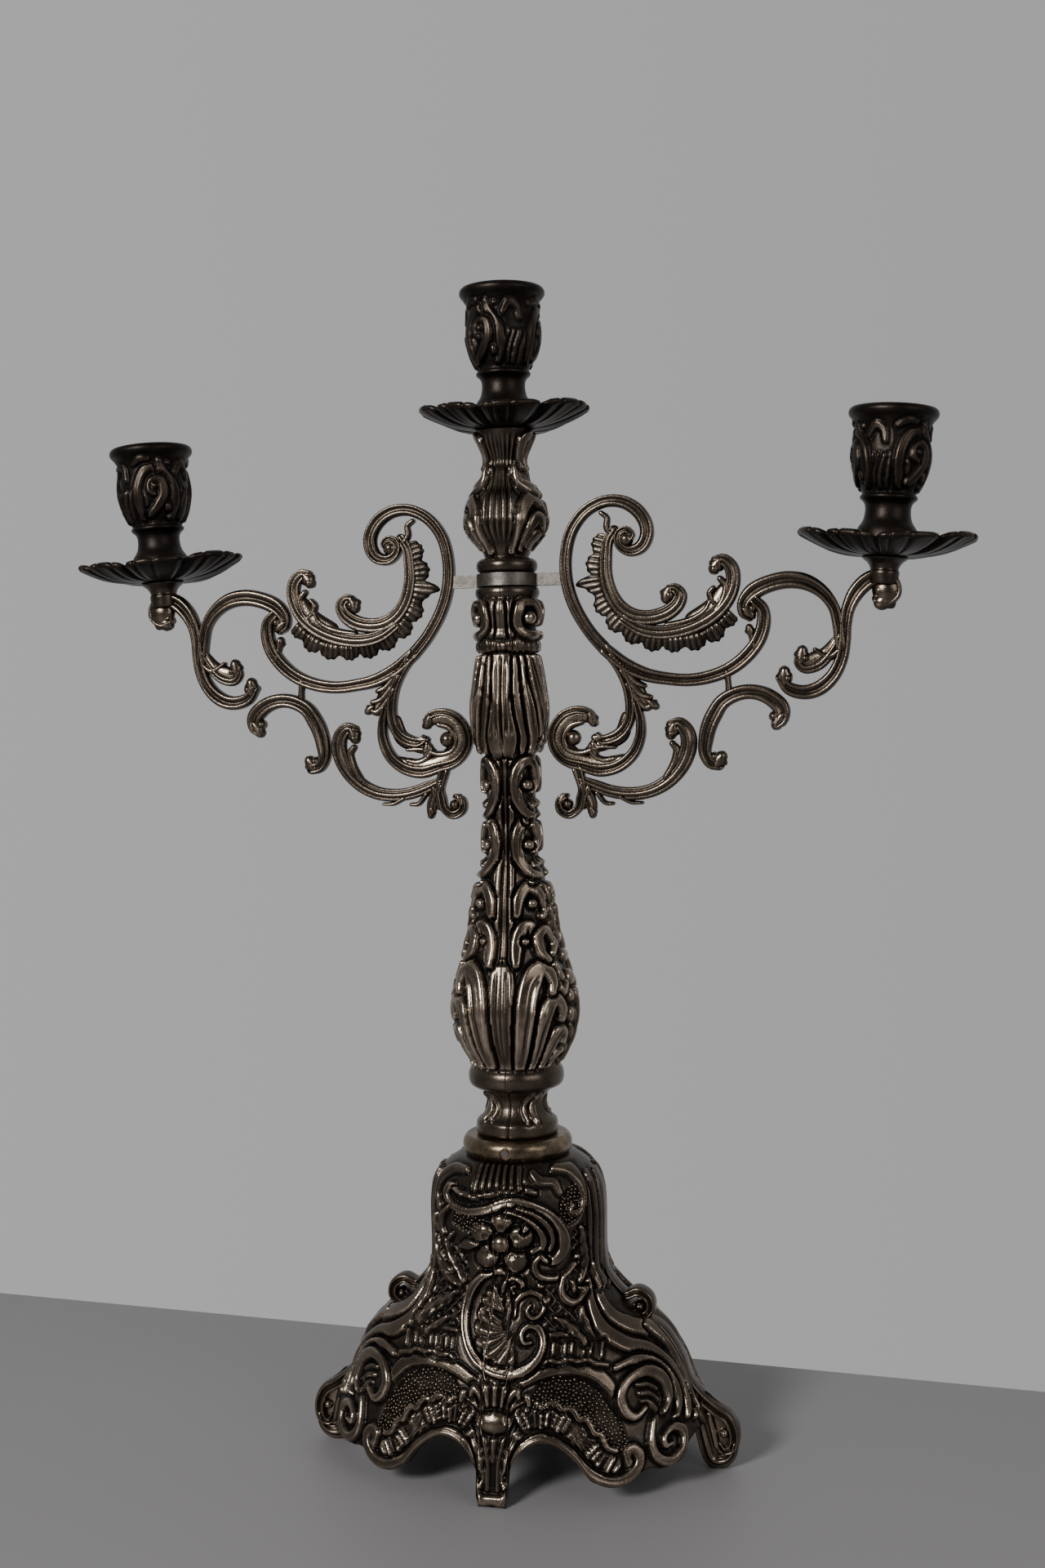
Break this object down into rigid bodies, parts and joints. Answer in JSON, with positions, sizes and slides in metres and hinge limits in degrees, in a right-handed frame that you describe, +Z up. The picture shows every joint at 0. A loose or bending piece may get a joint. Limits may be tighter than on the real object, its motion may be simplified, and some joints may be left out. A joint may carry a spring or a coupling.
{
  "type": "tabletop candelabra",
  "caption": "Ornate cast-metal table candelabra: a baluster column on an arched oval base carries a centre candle cup and a swivelling pair of pierced scroll arms with cups.",
  "frame": {"origin": "on the table under the column's axis, at the middle of the base", "axes": "+Z up along the column, X along the two arms and the long way of the base, -Y is the front"},
  "size_m": [0.341, 0.1016, 0.44],
  "materials": {
    "cast_relief": "antiqued cast metal, dark in the recesses and rubbed bright on the relief",
    "worn_collar": "smooth worn metal with warm brassy patches",
    "dark_cup": "dark brown-black patina, slightly rubbed on the relief",
    "band_strip": "plain strip, brushed and lightly tarnished",
    "steel_hardware": "bright zinc-plated steel"
  },
  "bodies": {
    "stand": {"base_casting": "cast_relief", "base_collar": "worn_collar", "collar_pin": "steel_hardware", "column_half_left": "cast_relief", "column_half_right": "cast_relief", "tie_rod": "steel_hardware", "foot_washer": "steel_hardware", "spring_washer": "steel_hardware", "foot_nut": "steel_hardware", "upper_knop": "cast_relief", "centre_drip_pan": "dark_cup", "centre_cup": "dark_cup"},
    "arms": {"band_half_front": "band_strip", "band_half_back": "band_strip", "arm_left": "cast_relief", "arm_right": "cast_relief", "stud_left": "steel_hardware", "stud_right": "steel_hardware", "drip_pan_left": "dark_cup", "drip_pan_right": "dark_cup", "cup_left": "dark_cup", "cup_right": "dark_cup"}
  },
  "joints": [
    {"name": "arm_swivel", "type": "hinge", "parent": "stand", "child": "arms", "pos_m": [0, 0, 0.33185], "axis": [0, 0, 1], "continuous": true}
  ]
}
